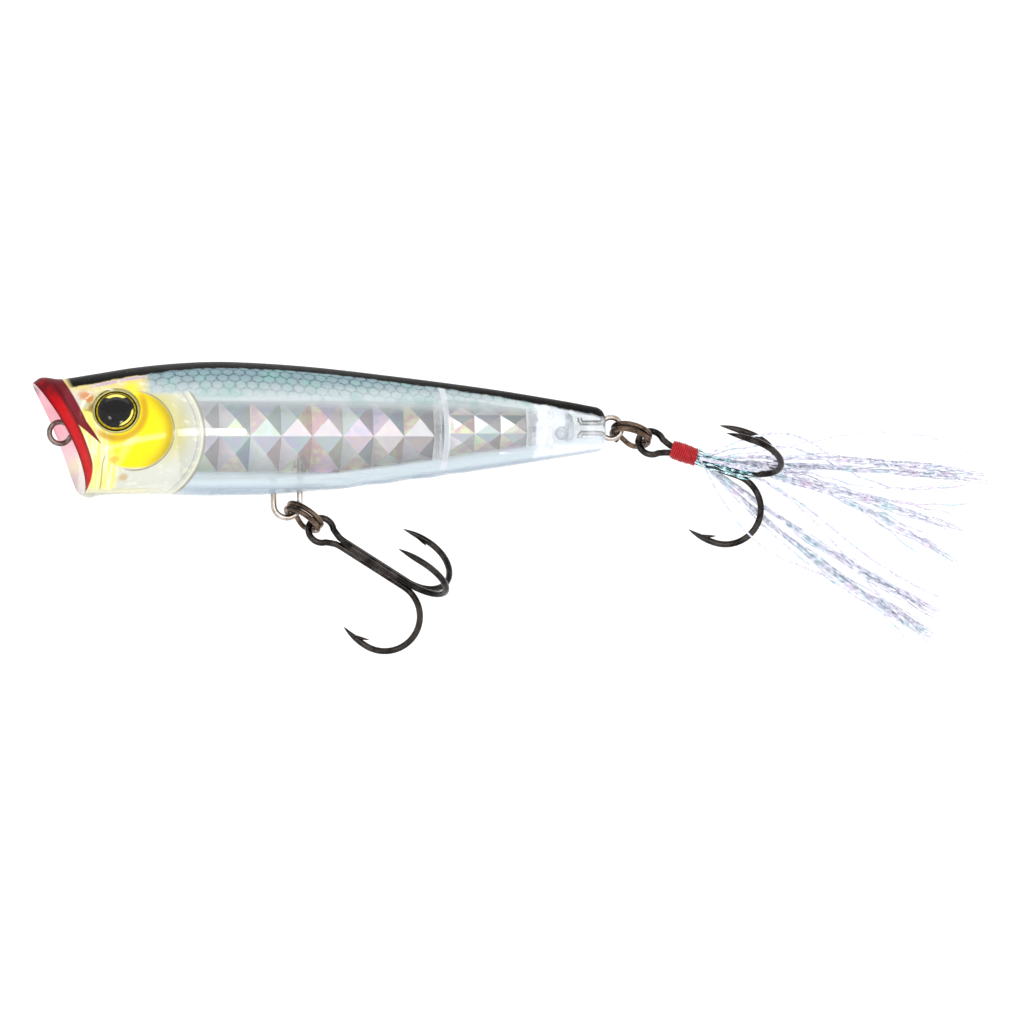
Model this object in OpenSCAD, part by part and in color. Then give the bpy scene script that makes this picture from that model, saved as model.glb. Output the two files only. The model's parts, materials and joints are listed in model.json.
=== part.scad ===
// Topwater popper: a hollow clear two-half body with a cupped mouth, faceted
// reflector panels inside it, two treble hooks on split rings and a tinsel tail.
// Origin: the middle of the line tie's ring. +X runs to the tail, +Z is the back.

/* [Body] */
// Overall length of the plastic body, lip to tail
body_length = 75; // [60:1:90]
// Greatest height of the body
body_height = 17.4; // [15:0.2:20]
// Greatest width of the body
body_width = 15; // [13:0.2:17]
// Thickness of the moulded wall
wall = 1.4; // [1.1:0.1:1.6]
// How far the mouth is dished behind the line tie's ring centre
cup_depth = 3.2; // [2.8:0.1:3.6]

/* [Eyes] */
// Diameter of the round socket for an eye
socket_d = 6.3; // [5.6:0.1:6.6]
// Depth of the socket below the cheek
socket_depth = 0.9; // [0.6:0.1:1.0]
// Diameter of the clear dome over the pupil
dome_d = 5.3; // [4.6:0.1:5.4]

/* [Wire parts] */
// Wire diameter of the line tie and the tail hanger
tie_wire = 0.68; // [0.6:0.02:0.72]
// Wire diameter of the belly hanger
hanger_wire = 0.78; // [0.7:0.02:0.84]
// Wire diameter of the split rings
ring_wire = 0.7; // [0.6:0.02:0.72]
// Mean radius of a split ring's coils
ring_radius = 2.44; // [2.3:0.02:2.6]

/* [Hooks] */
// Wire diameter of the treble hooks
hook_wire = 0.84; // [0.76:0.02:0.86]
// Radius of the round bend of a hook
bend_radius = 4.6; // [4:0.05:5]
// Ring wire to bend centre along the belly treble's shank
belly_shank = 13.4; // [12:0.1:14]
// Ring wire to bend centre along the tail treble's shank
tail_shank = 12.4; // [12:0.1:14]
// Length of the red thread winding
wrap_length = 3.6; // [3:0.1:4]

/* [Hidden] */
$fn = 48;

// Scale of the drawn outline against the driving sizes
kx = body_length / 75;
kz = body_height / 17.4;
ky = body_width / 15;

// Outline of the body, as [station along X, value]. A station is where a section
// crosses z = 0: the front sections lean, so that the lip overhangs the chin.
lip_station = -0.79;
tail_station = 70.3;
back_line = [
  [lip_station, 6.4], [0.4, 7.15], [2.2, 6.95], [6, 7.6], [10.5, 8.45], [16, 9.05],
  [22, 9.2], [32, 8.62], [43, 7.42], [56, 5.75], [66, 4.15], [tail_station, 3.35]
];
belly_line = [
  [lip_station, -8.1], [0.4, -8.43], [2.2, -8.15], [6, -7.98], [12, -7.95], [20, -8.18],
  [26, -8], [34, -7.5], [46, -6.08], [58, -4.4], [tail_station, -2.45]
];
flank_line = [
  [lip_station, 6.75], [2.2, 6.7], [8, 7], [20, 7.5], [32, 7.15], [46, 5.85],
  [60, 4.1], [tail_station, 2.85]
];
mouth_lean = 0.439;
mouth_hollow = 1;
lean_reach = 17;

// A smooth curve through hand-set points (Catmull-Rom), value at x
function at_end(n, i) = min(max(i, 0), n - 1);
function span(pts, x, i = 0) = i >= len(pts) - 2 || x < pts[i + 1][0] ? i : span(pts, x, i + 1);
function slope(pts, i) =
  let (a = pts[at_end(len(pts), i - 1)], b = pts[at_end(len(pts), i + 1)]) (b[1] - a[1]) / (b[0] - a[0]);
function curve(pts, x) =
  let (
    i = span(pts, x), a = pts[i], b = pts[i + 1], d = b[0] - a[0],
    t = min(max((x - a[0]) / d, 0), 1), s = 1 - t
  )
  a[1] * (1 + 2 * t) * s * s + b[1] * (3 - 2 * t) * t * t
    + slope(pts, i) * d * t * s * s - slope(pts, i + 1) * d * s * t * t;

// How much a section belongs to the leaning mouth: 1 at the rim, 0 behind the eyes
function mouthness(s) = pow(max(0, 1 - (s - lip_station) / lean_reach), 1.5);

// A point of the body's surface moved inwards by inset: station s, and angle t
// from 0 at the back, through 90 on the flank, to 180 at the belly. Left side, y < 0.
function skin(s, t, inset = 0, shrink = 1) =
  let (
    m = mouthness(s),
    top = curve(back_line, s) * kz - inset,
    low = curve(belly_line, s) * kz + inset,
    half = curve(flank_line, s) * ky - inset,
    pear = 0.06 + 0.26 * m,
    z = (top + low) / 2 + shrink * (top - low) / 2 * cos(t),
    y = shrink * half * pow(sin(t), 0.84) * (1 - pear * cos(t)),
    dish = mouth_hollow * m * max(0, 1 - pow((z + 0.9) / 7.4, 2))
  )
  [s * kx - mouth_lean * m * z + dish, -y, z];

// Half width at a station and a height, of the surface moved inwards by inset
function flank(s, z, inset) =
  let (
    top = curve(back_line, s) * kz - inset, low = curve(belly_line, s) * kz + inset,
    c = min(max((z - (top + low) / 2) * 2 / (top - low), -1), 1)
  )
  (curve(flank_line, s) * ky - inset) * pow(1 - c * c, 0.42) * (1 - (0.06 + 0.26 * mouthness(s)) * c);

// A row of the half shell, back to belly; the last points lie in the parting plane
sides = 16;
function row(s, inset = 0, shrink = 1) =
  [for (j = [0 : sides]) let (p = skin(s, 180 * j / sides, inset, shrink)) [p[0], j % sides == 0 ? 0 : p[1], p[2]]];
// A row inside a dished wall: between its middle point and its edge row
function dish_row(middle, edge, r) =
  [for (p = edge) let (q = middle + (p - middle) * r) [middle[0] + (p[0] - middle[0]) * r * r, q[1], q[2]]];

cup_middle = [cup_depth, 0, -0.9];
cup_back = [cup_depth + wall, 0, -0.9];
tail_middle = 0.45;
tail_end = 71.3;
chamber_end = 67.2;
rib_front = 49.1;
rib_back = 49.95;
bulkhead_front = 61.5;
bulkhead_back = 63.9;
vent = 0.12;
step_width = 0.1;

outer_rows = concat(
  [for (r = [0.3, 0.6, 0.85, 0.96]) dish_row(cup_middle, row(lip_station), r)],
  [for (s = [lip_station, 0.3, 2, 4, 6.5, 9, 12, 15, 18, 21.5, 25, 29, 33, 37, 41, 45]) row(s)],
  [for (s = [rib_front, rib_front + step_width, rib_back - step_width, rib_back]) row(s)],
  [for (s = [53.5, 57.5]) row(s)],
  [for (s = [bulkhead_front, bulkhead_front + step_width, bulkhead_back - step_width, bulkhead_back]) row(s)],
  [row(66.2), row(68.4), row(tail_station), row(70.9, 0, 0.86), row(71.2, 0, 0.7), row(tail_end, 0, 0.55)]
);
inner_corner = row(5.2, wall);
inner_rows = concat(
  [for (r = [0.3, 0.6, 0.85]) dish_row(cup_back, inner_corner, r)],
  [for (s = [5.2, 5.5, 5.8, 6.2, 6.8, 7.8, 9.4, 12, 15, 18, 21.5, 25, 29, 33, 37, 41, 45]) row(s, wall)],
  [row(rib_front, wall), row(rib_front + step_width, wall, vent)],
  [row(rib_back - step_width, wall, vent), row(rib_back, wall)],
  [for (s = [53.5, 57.5]) row(s, wall)],
  [row(bulkhead_front, wall), row(bulkhead_front + step_width, wall, vent)],
  [row(bulkhead_back - step_width, wall, vent), row(bulkhead_back, wall)],
  [row(65.2, wall), row(66.2, wall), row(66.8, wall, 0.94)],
  [row(67, wall, 0.8), row(67.1, wall, 0.6), row(chamber_end, wall, 0.35)]
);

// Triangles of a grid of rows, facing one way or the other
function flip(f, turned) = turned ? [f[2], f[1], f[0]] : f;
function grid_faces(rows, width, first, turned) = [
  for (i = [0 : rows - 2], j = [0 : width - 2])
    let (a = first + i * width + j, b = a + 1, c = a + width, d = c + 1)
    each [flip([a, b, d], turned), flip([a, d, c], turned)]
];
function fan_faces(tip, first, width, turned) =
  [for (j = [0 : width - 2]) flip([tip, first + j + 1, first + j], turned)];

// One half of the body: outer skin, chamber wall and the flat parting faces
module half_body() {
  width = sides + 1;
  rows = len(outer_rows);
  inner_first = rows * width;
  front_out = 2 * inner_first;
  tail_out = front_out + 1;
  front_in = front_out + 2;
  tail_in = front_out + 3;
  last = (rows - 1) * width;
  points = concat(
    [for (r = outer_rows) each r], [for (r = inner_rows) each r],
    [cup_middle, [tail_end * kx, 0, tail_middle], cup_back, [chamber_end * kx, 0, tail_middle]]
  );
  parting = [
    for (i = [0 : rows - 2], j = [0, width - 1])
      let (a = i * width + j, b = a + width, c = inner_first + a, d = inner_first + b)
      each [flip([a, b, d], j > 0), flip([a, d, c], j > 0)]
  ];
  ends = [
    for (j = [0, width - 1])
      each [
        flip([front_out, j, inner_first + j], j > 0), flip([front_out, inner_first + j, front_in], j > 0),
        flip([last + j, tail_out, tail_in], j > 0), flip([last + j, tail_in, inner_first + last + j], j > 0)
      ]
  ];
  faces = concat(
    grid_faces(rows, width, 0, true), grid_faces(rows, width, inner_first, false),
    fan_faces(front_out, 0, width, true), fan_faces(tail_out, last, width, false),
    fan_faces(front_in, inner_first, width, false), fan_faces(tail_in, inner_first + last, width, true),
    parting, ends
  );
  polyhedron(points, faces, convexity = 8);
}

// Eye: its place on the cheek and the way it faces
eye_station = 6.7;
eye_angle = 67;
eye_spot = skin(eye_station, eye_angle);
eye_facing = unit(cross(
  skin(eye_station + 0.5, eye_angle) - skin(eye_station - 0.5, eye_angle),
  skin(eye_station, eye_angle + 4) - skin(eye_station, eye_angle - 4)
));
disc_gap = 0.03;
disc_thickness = 0.35;
dome_rise = 1.15;

function unit(v) = v / norm(v);

// Stands children on the left cheek with +Z facing out
module on_cheek() {
  translate(eye_spot)
    rotate([0, acos(eye_facing[2]), atan2(eye_facing[1], eye_facing[0])])
      children();
}

// A round channel for a wire; its seam is turned out of the parting plane
channel_gap = 0.03;
module channel(from, d, length, upright) {
  translate(from)
    rotate([0, upright ? 0 : 90, 0])
      rotate([0, 0, 90])
        cylinder(d = d + 2 * channel_gap, h = length);
}

// Channels in the parting faces, where the wire parts are held between the halves
module wire_channels() {
  for (side = [-1, 1]) {
    channel([cup_depth - 1, 0, side * tie_leg], tie_wire, wall + 1.6, false);
    channel(hanger_centre + [side * hanger_radius, 0, 0], hanger_wire, 3.6, true);
    channel(tail_eye + [-5.2, 0, side * tail_leg], tie_wire, 5.2, false);
  }
  channel(tail_eye + [-4.1, 0, -1.5], tie_wire, 3, true);
  translate(tail_eye)
    rotate([90, 0, 0])
      cylinder(r = tail_eye_radius + tie_wire / 2 + channel_gap, h = tie_wire + 2 * channel_gap, center = true);
}

module left_half() {
  difference() {
    half_body();
    on_cheek() translate([0, 0, -socket_depth]) cylinder(d = socket_d, h = 4);
    wire_channels();
  }
}

module left_body_shell() {
  color([0.78, 0.85, 0.86, 0.5]) left_half();
}

module right_body_shell() {
  color([0.78, 0.85, 0.86, 0.5]) mirror([0, 1, 0]) left_half();
}

// A reflector panel behind the flank: a grid of four-sided pyramids. The grid's
// heights are limited so that it stays inside the chamber as the body narrows.
panel_gap = 0.2;
panel_thickness = 0.5;
panel_floor = 0.8;
function panel_depth(s, z, depth) = -max(panel_floor, flank(s, z, wall + panel_gap + depth));
function panel_z(s, z, order, rise) =
  let (
    margin = wall + panel_gap + rise,
    low = curve(belly_line, s) * kz + margin + 0.9 - 0.4 * order,
    top = curve(back_line, s) * kz - margin + 0.3
  )
  min(max(z, low), top);

module prism_panel(start, pitch, columns, levels, rise) {
  rows = len(levels);
  corners = (columns + 1) * rows;
  function corner(i, k, depth) =
    let (s = start + i * pitch, z = panel_z(s, levels[k] * kz, k, rise))
    [s * kx, panel_depth(s, z, depth), z];
  function tip(i, k) =
    let (
      s = start + (i + 0.5) * pitch,
      z = (panel_z(s, levels[k] * kz, k, rise) + panel_z(s, levels[k + 1] * kz, k + 1, rise)) / 2
    )
    [s * kx, panel_depth(s, z, 0), z];
  points = concat(
    [for (i = [0 : columns], k = [0 : rows - 1]) corner(i, k, rise)],
    [for (i = [0 : columns], k = [0 : rows - 1]) corner(i, k, rise) + [0, panel_thickness, 0]],
    [for (i = [0 : columns - 1], k = [0 : rows - 2]) tip(i, k)]
  );
  cells = [
    for (i = [0 : columns - 1], k = [0 : rows - 2])
      let (
        a = i * rows + k, b = a + 1, c = a + rows, d = c + 1, t = 2 * corners + i * (rows - 1) + k,
        e = a + corners, f = b + corners, g = c + corners, h = d + corners
      )
      each [[a, c, t], [c, d, t], [d, b, t], [b, a, t], [e, f, h], [e, h, g]]
  ];
  rims = concat(
    [for (i = [0 : columns - 1], k = [0, rows - 1])
      let (a = i * rows + k, c = a + rows, e = a + corners, g = c + corners)
      each [flip([a, e, g], k > 0), flip([a, g, c], k > 0)]],
    [for (k = [0 : rows - 2], i = [0, columns])
      let (a = i * rows + k, b = a + 1, e = a + corners, f = b + corners)
      each [flip([a, b, f], i > 0), flip([a, f, e], i > 0)]]
  );
  polyhedron(points, concat(cells, rims), convexity = 8);
}

module left_main_prism() {
  prism_panel(16.4, 4.07, 8, [4.15, -0.45, -5.06, -7.6], 0.75);
}

module left_rear_prism() {
  prism_panel(50.4, 3.5, 3, [4, 2.3, -0.09, -2.47], 0.6);
}

module left_prism_panel() {
  color([0.85, 0.84, 0.86]) left_main_prism();
}

module right_prism_panel() {
  color([0.85, 0.84, 0.86]) mirror([0, 1, 0]) left_main_prism();
}

module left_tail_prism() {
  color([0.8, 0.82, 0.86]) left_rear_prism();
}

module right_tail_prism() {
  color([0.8, 0.82, 0.86]) mirror([0, 1, 0]) left_rear_prism();
}

// Printed plate with the gold ring, glued on the socket's floor
module eye_disc() {
  on_cheek()
    translate([0, 0, disc_gap - socket_depth])
      cylinder(d = socket_d - 0.3, h = disc_thickness);
}

// Clear domed lens over the pupil
module eye_dome() {
  base = 2 * disc_gap + disc_thickness - socket_depth;
  ball = (pow(dome_d / 2, 2) + pow(dome_rise, 2)) / (2 * dome_rise);
  on_cheek()
    translate([0, 0, base])
      intersection() {
        translate([0, 0, dome_rise - ball]) sphere(r = ball);
        cylinder(d = 2 * dome_d, h = 2 * dome_rise);
      }
}

module left_eye_disc() {
  color("gold") eye_disc();
}

module right_eye_disc() {
  color("gold") mirror([0, 1, 0]) eye_disc();
}

module left_eye_dome() {
  color([0.05, 0.05, 0.05]) eye_dome();
}

module right_eye_dome() {
  color([0.05, 0.05, 0.05]) mirror([0, 1, 0]) eye_dome();
}

// Small ball that loads the tail, in the last chamber
module tail_weight() {
  color("silver") translate([65.7 * kx, 0, 0]) sphere(d = 1.8);
}

// A wire bent along a path: round sections carried along without twist
wire_sides = 8;
function along(path) =
  [for (i = [0 : len(path) - 1]) unit(path[at_end(len(path), i + 1)] - path[at_end(len(path), i - 1)])];
function square_to(n, t) = unit(n - (n * t) * t);
function carried(t, n, i = 0) =
  let (now = square_to(n, t[i])) i == len(t) - 1 ? [now] : concat([now], carried(t, now, i + 1));

module wire(path, radii, n = wire_sides) {
  t = along(path);
  u = carried(t, abs(t[0][1]) < 0.9 ? [0, 1, 0] : [1, 0, 0]);
  last = len(path) - 1;
  points = [
    for (i = [0 : last], k = [0 : n - 1])
      let (a = 360 * (k + 0.5) / n) path[i] + radii[i] * (cos(a) * u[i] + sin(a) * cross(t[i], u[i]))
  ];
  skin_faces = [
    for (i = [0 : last - 1], k = [0 : n - 1])
      let (a = i * n + k, b = i * n + (k + 1) % n, c = a + n, d = b + n)
      each [[a, d, b], [a, c, d]]
  ];
  caps = [[for (k = [0 : n - 1]) k], [for (k = [n - 1 : -1 : 0]) last * n + k]];
  polyhedron(points, concat(skin_faces, caps), convexity = 12);
}

function same(path, r) = [for (p = path) r];
// Points of an arc in the XZ plane
function arc_xz(centre, r, from, to, steps) =
  [for (i = [0 : steps]) let (a = from + (to - from) * i / steps) centre + r * [cos(a), 0, sin(a)]];

// Line tie: one wire bent to a ring, its two legs moulded into the cup's wall
tie_radius = 1.41;
tie_leg = 0.37;
module line_tie() {
  back = cup_depth + wall;
  half = [
    [back + 1.3, 0, 1.9], [back + 1.1, 0, 1.1], [back + 0.6, 0, 0.5],
    [back, 0, tie_leg], [cup_depth, 0, tie_leg], [1.8, 0, tie_leg]
  ];
  path = concat(
    half, arc_xz([0, 0, 0], tie_radius, 24, 336, 20),
    [for (i = [len(half) - 1 : -1 : 0]) [half[i][0], 0, -half[i][2]]]
  );
  color("darkgray") wire(path, same(path, tie_wire / 2));
}

// Belly hanger: a U of wire below the belly, closed above by a small curl
hanger_centre = [29.62, 0, -9.27];
hanger_radius = 1.72;
module belly_hanger() {
  front_x = hanger_centre[0] - hanger_radius;
  rear_x = hanger_centre[0] + hanger_radius;
  curl = 0.8;
  path = concat(
    [[front_x - 1.5, 0, -5.4], [front_x - 0.5, 0, -5.6], [front_x, 0, -6.3]],
    arc_xz(hanger_centre, hanger_radius, 180, 360, 14),
    [[rear_x, 0, -7], [rear_x, 0, -5]],
    arc_xz([rear_x - curl, 0, -3.4], curl, 0, 290, 12)
  );
  color("darkgray") wire(path, same(path, hanger_wire / 2));
}

// Tail hanger: a ring of wire whose legs are moulded into the solid tail
tail_eye = [72.2 * kx, 0, 0.65];
tail_eye_radius = 1.39;
tail_leg = 0.66;
module tail_hanger() {
  half = [[-4.1, 0, 1.35], [-4.1, 0, 0.95], [-3.85, 0, tail_leg], [-1.9, 0, tail_leg]];
  path = concat(
    [for (p = half) tail_eye + p],
    arc_xz(tail_eye, tail_eye_radius, 148, -148, 18),
    [for (i = [len(half) - 1 : -1 : 0]) tail_eye + [half[i][0], 0, -half[i][2]]]
  );
  color("darkgray") wire(path, same(path, tie_wire / 2));
}

// Split ring: two close coils joined by a short crossover. Local +X is the way
// the ring points; its first wire lies inside the part that carries it.
coil_offset = ring_wire / 2 + 0.03;
ring_reach = 0.32;
module split_ring() {
  coil = 300;
  cross_over = 60;
  start = 120;
  step = 15;
  function lift(a) = a < coil ? -1 : a > coil + cross_over ? 1 : -cos(180 * (a - coil) / cross_over);
  path = [
    for (a = [0 : step : 2 * coil + cross_over])
      [ring_reach + ring_radius + ring_radius * cos(a + start), ring_radius * sin(a + start), coil_offset * lift(a)]
  ];
  wire(path, same(path, ring_wire / 2));
}

// Places children at a pivot, pointing down-tail by an angle below level, with
// their far end swung to the left by an angle in plan
module hung(pivot, below, swung = 0) {
  translate(pivot) rotate([0, below, -swung]) children();
}
function hung_point(pivot, below, p) =
  pivot + [cos(below) * p[0] + sin(below) * p[2], p[1], -sin(below) * p[0] + cos(below) * p[2]];

belly_ring_angle = 36;
belly_hook_angle = 32.5;
tail_ring_angle = 18.7;
tail_hook_angle = 18.9;
hook_swung = 5;
// The rings also lie rolled about their own length, the left side up
belly_ring_roll = -12;
tail_ring_roll = -22;
ring_far = [ring_reach + 2 * ring_radius, 0, 0];
belly_pivot = hung_point(hanger_centre, belly_ring_angle, ring_far);
tail_pivot = hung_point(tail_eye, tail_ring_angle, ring_far);

module belly_split_ring() {
  color([0.3, 0.28, 0.26])
    hung(hanger_centre, belly_ring_angle) rotate([belly_ring_roll, 0, 0]) split_ring();
}

module tail_split_ring() {
  color([0.3, 0.28, 0.26])
    hung(tail_eye, tail_ring_angle) rotate([tail_ring_roll, 0, 0]) split_ring();
}

// Treble hook, in a frame whose +X runs down the shank from the ring's wire.
// Turn is the angle round the shank: 0 points to -Y and 90 points up.
function around(x, r, turn) = [x, -r * cos(turn), r * sin(turn)];
eye_centre = 0.42;
eye_radius = 1.68;
shank_offset = hook_wire / sqrt(3) + 0.03;
point_drop = 0.55;
point_length = 3.7;
function prong(shank, turn) =
  let (centre = shank_offset + bend_radius)
  concat(
    [for (x = [5, 7.5, 10]) around(x, shank_offset, turn)],
    [for (a = [-90 : 12 : 90])
      around(shank + bend_radius * cos(a), centre + bend_radius * sin(a), turn)],
    [for (f = [0.35, 0.62, 0.85, 1])
      around(shank - point_length * f, centre + bend_radius - point_drop * f * f, turn)]
  );
// The last four points of a prong narrow to its tip
function sharpened(radii) =
  let (n = len(radii), tip = [0.94, 0.66, 0.34, 0.06])
  [for (i = [0 : n - 1]) i < n - 4 ? radii[i] : radii[i] * tip[i - n + 4]];
function reversed(list) = [for (i = [len(list) - 1 : -1 : 0]) list[i]];

// Two prongs and the eye from one wire; the eye lies square to the third prong
module double_hook(shank, third) {
  side = shank_offset * sin(60);
  lean = shank_offset * cos(60);
  function in_eye(x, e) = around(x, 0, 0) + around(0, e, third + 90) + around(0, lean, third + 180);
  neck = [in_eye(2.4, 0.74), in_eye(3, 0.52), in_eye(3.6, side)];
  neck_back = [in_eye(3.6, -side), in_eye(3, -0.52), in_eye(2.4, -0.74)];
  loop = [
    for (a = [38 : 14.2 : 322])
      in_eye(eye_centre + eye_radius * cos(a), eye_radius * sin(a))
  ];
  path = concat(
    reversed(prong(shank, third + 120)), reversed(neck), loop,
    reversed(neck_back), prong(shank, third + 240)
  );
  tapered = sharpened(same(prong(shank, 0), hook_wire / 2));
  middle = same(concat(neck, loop, neck_back), hook_wire / 2);
  wire(path, concat(reversed(tapered), middle, tapered));
}

// The third prong, a single wire brazed along the other two
module single_hook(shank, third) {
  path = concat([around(3.3, shank_offset, third)], prong(shank, third));
  wire(path, concat([hook_wire * 0.4], sharpened(same(prong(shank, 0), hook_wire / 2))));
}

belly_third = 19;
tail_third = 26;
hook_colour = [0.2, 0.19, 0.18];

module belly_treble_double() {
  color(hook_colour) hung(belly_pivot, belly_hook_angle, hook_swung) double_hook(belly_shank, belly_third);
}

module belly_treble_single() {
  color(hook_colour) hung(belly_pivot, belly_hook_angle, hook_swung) single_hook(belly_shank, belly_third);
}

module tail_treble_double() {
  color(hook_colour) hung(tail_pivot, tail_hook_angle, hook_swung) double_hook(tail_shank, tail_third);
}

module tail_treble_single() {
  color(hook_colour) hung(tail_pivot, tail_hook_angle, hook_swung) single_hook(tail_shank, tail_third);
}

// Red thread wound tightly round the tail treble's shank
wrap_start = 3.1;
shank_radius = shank_offset + hook_wire / 2;
module thread_wrap() {
  color([0.78, 0.1, 0.16])
    hung(tail_pivot, tail_hook_angle, hook_swung)
      translate([wrap_start, 0, 0])
        rotate([0, 90, 0])
          difference() {
            cylinder(r = shank_radius + 0.22, h = wrap_length);
            translate([0, 0, -1]) cylinder(r = shank_radius + 0.02, h = wrap_length + 2);
          }
}

// A bundle of tinsel from the thread to its tips, as [down the shank, Y, up]
bundle_start = wrap_start + wrap_length + 0.1;
function bundle_radii(n) = [for (i = [0 : n - 1]) let (f = i / (n - 1)) 0.34 + 0.5 * sin(180 * f) + 0.12 * f];
module bundle(route) {
  steps = 4;
  n = len(route);
  path = [
    for (i = [0 : n - 2], k = [0 : steps - (i < n - 2 ? 1 : 0)])
      smooth_point(route, i, k / steps)
  ];
  color([0.85, 0.85, 0.93])
    hung(tail_pivot, tail_hook_angle, hook_swung)
      wire(path, bundle_radii(len(path)));
}
function smooth_point(p, i, t) =
  let (
    a = p[at_end(len(p), i - 1)], b = p[i], c = p[i + 1], d = p[at_end(len(p), i + 2)], s = 1 - t,
    from = (c - a) / 2, to = (d - b) / 2
  )
  b * (1 + 2 * t) * s * s + c * (3 - 2 * t) * t * t + from * t * s * s - to * s * t * t;

module tinsel_upper() {
  bundle([[bundle_start, 0, 1.5], [11, 0, 2], [18.5, -0.3, 3.4], [27, -0.4, 5.8], [36, 0, 8.6], [44.5, 0.6, 11.8]]);
}

module tinsel_middle() {
  bundle([[bundle_start, -1.5, 0], [11, -1.9, -0.5], [16, -2, -0.6], [28, -1.6, 1.6], [37, -1, 2.8], [45, -0.6, 3]]);
}

module tinsel_lower_near() {
  bundle([[bundle_start, -1.3, -1], [11, -1.8, -1.9], [16, -2, -3.2], [25, -2, -6], [35, -1.4, -8], [45, -0.8, -9.6]]);
}

module tinsel_lower_far() {
  bundle([[bundle_start, 1.4, -0.9], [11, 2, -2], [18, 2.3, -4.6], [26, 2.2, -8], [34, 1.8, -11.4], [42.3, 1.2, -14.6]]);
}

left_body_shell();
right_body_shell();
left_prism_panel();
right_prism_panel();
left_tail_prism();
right_tail_prism();
left_eye_disc();
right_eye_disc();
left_eye_dome();
right_eye_dome();
tail_weight();
line_tie();
belly_hanger();
tail_hanger();
belly_split_ring();
tail_split_ring();
belly_treble_double();
belly_treble_single();
tail_treble_double();
tail_treble_single();
thread_wrap();
tinsel_upper();
tinsel_middle();
tinsel_lower_near();
tinsel_lower_far();
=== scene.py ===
"""A cup-mouthed topwater popper: painted clear body, prism panels, trebles and a tinsel tail."""
import json
import math
import random

import bpy
from mathutils import Matrix, Vector


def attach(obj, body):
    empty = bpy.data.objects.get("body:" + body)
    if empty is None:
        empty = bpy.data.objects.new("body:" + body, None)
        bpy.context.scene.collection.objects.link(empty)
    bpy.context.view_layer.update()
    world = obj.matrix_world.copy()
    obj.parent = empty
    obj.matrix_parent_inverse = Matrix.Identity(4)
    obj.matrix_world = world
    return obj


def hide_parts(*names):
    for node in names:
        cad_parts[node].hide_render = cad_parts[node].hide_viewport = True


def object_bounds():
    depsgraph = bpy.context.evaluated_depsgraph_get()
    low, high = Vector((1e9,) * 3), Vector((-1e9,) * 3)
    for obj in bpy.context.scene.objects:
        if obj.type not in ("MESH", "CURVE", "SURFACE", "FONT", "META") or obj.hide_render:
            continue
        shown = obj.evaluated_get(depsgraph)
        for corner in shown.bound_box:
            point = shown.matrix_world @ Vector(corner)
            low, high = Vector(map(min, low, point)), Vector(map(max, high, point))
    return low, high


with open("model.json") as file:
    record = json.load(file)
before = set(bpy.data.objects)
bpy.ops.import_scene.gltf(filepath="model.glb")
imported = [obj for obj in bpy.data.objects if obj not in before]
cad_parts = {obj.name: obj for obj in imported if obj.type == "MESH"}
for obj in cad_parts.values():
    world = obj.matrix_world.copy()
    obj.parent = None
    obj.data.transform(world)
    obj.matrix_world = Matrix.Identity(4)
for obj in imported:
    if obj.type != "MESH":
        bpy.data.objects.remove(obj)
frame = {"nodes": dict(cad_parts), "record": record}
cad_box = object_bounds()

MM = 0.001
record = frame["record"]
joints = {j["name"]: Vector(j["pos_m"]) for j in record["behaviour"]["joints"]}


# ---------------------------------------------------------------- Camera and room
# A long lens a little ahead of the lure's left side, level with it. The room is a
# seamless pale sweep under soft boxes, as for any small product on show.
sight_turn = math.radians(-9)
sight_distance = 3.0
sight_width = 0.1329
cad_low, cad_high = cad_box
middle = (cad_low + cad_high) / 2
aim = Vector((middle.x - 0.5 * MM, 0, middle.z - 0.42 * MM))
away = Vector((math.sin(sight_turn), -math.cos(sight_turn), 0))
bpy.ops.object.camera_add(location=aim + away * sight_distance, rotation=(math.pi / 2, 0, sight_turn))
camera = bpy.context.object
camera.data.sensor_width = 36
camera.data.lens = 36 * sight_distance / sight_width
camera.data.clip_end = 20
bpy.context.scene.camera = camera
bpy.context.scene.view_settings.view_transform = "Standard"


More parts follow.
